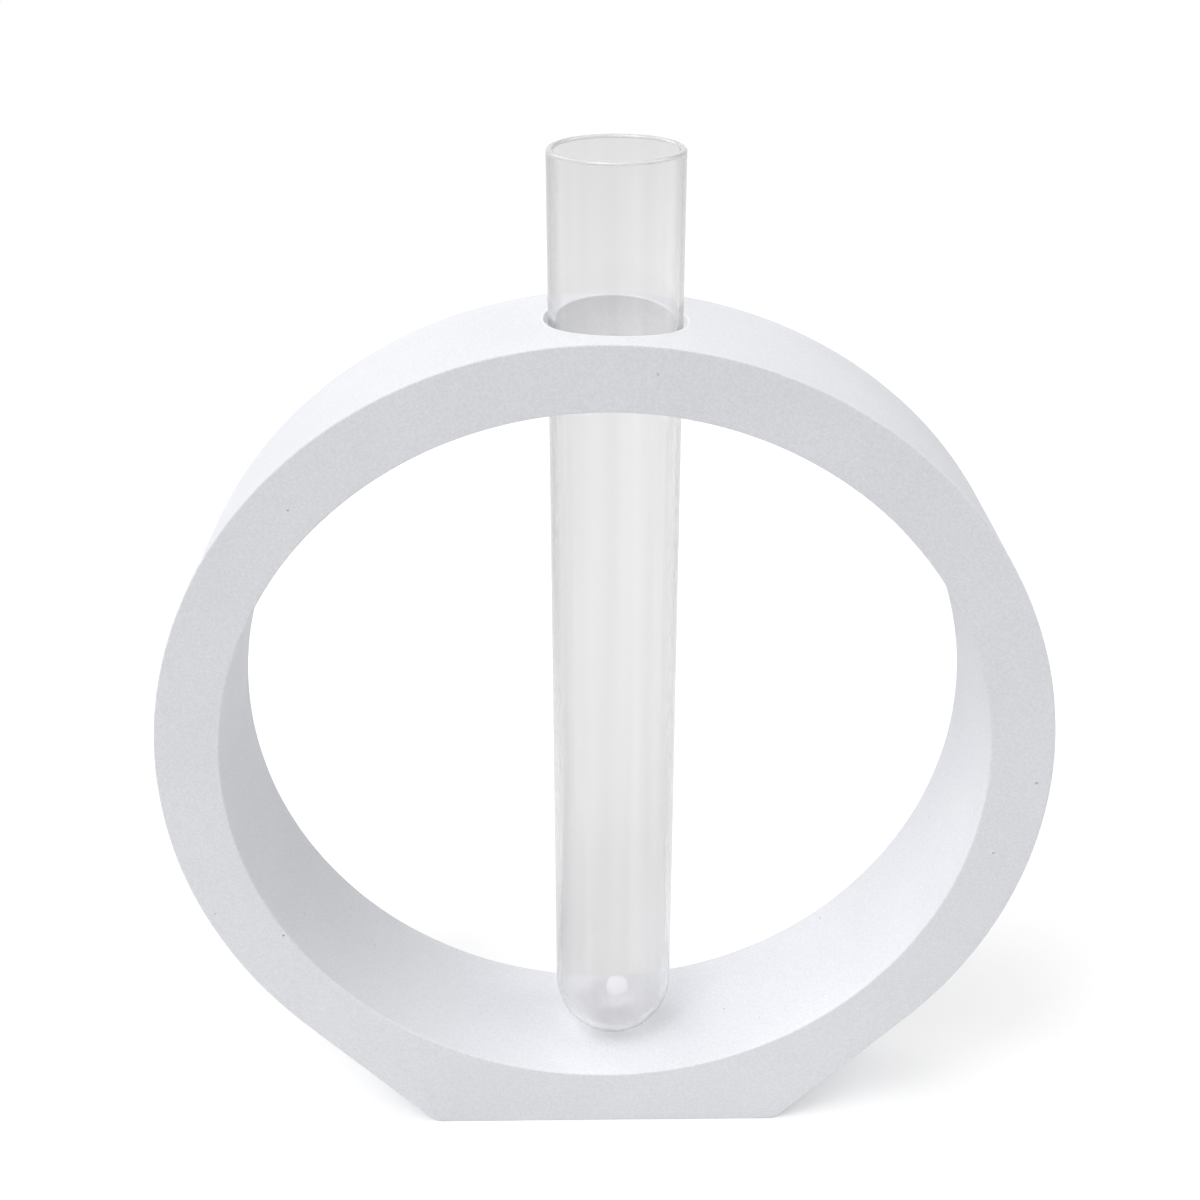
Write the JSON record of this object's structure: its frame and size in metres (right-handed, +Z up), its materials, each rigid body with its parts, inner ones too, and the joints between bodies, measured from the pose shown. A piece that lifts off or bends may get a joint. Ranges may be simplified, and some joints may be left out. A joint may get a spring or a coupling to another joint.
{
  "type": "bud vase",
  "caption": "Bud vase: a round cement ring on a flat foot, with a glass test tube dropped through a hole in the ring's top to hold water and a flower stem.",
  "frame": {"origin": "middle of the flat underside of the foot, on the surface that the vase stands on", "axes": "+Z up along the tube, +X across the ring to the right as seen from the front, the ring's two faces look along -Y (front) and +Y (back)"},
  "size_m": [0.18, 0.035, 0.2108],
  "materials": {
    "cement": "fine white cement, cast smooth, matt, with a few tiny air pinholes",
    "glass": "clear laboratory glass, fire-polished rim"
  },
  "bodies": {
    "ring": {"cement_ring": "cement"},
    "tube": {"test_tube": "glass"}
  },
  "joints": [
    {"name": "tube_lift", "type": "slide", "parent": "ring", "child": "tube", "axis": [0, 0, 1], "range_m": [0, 0.175]}
  ]
}
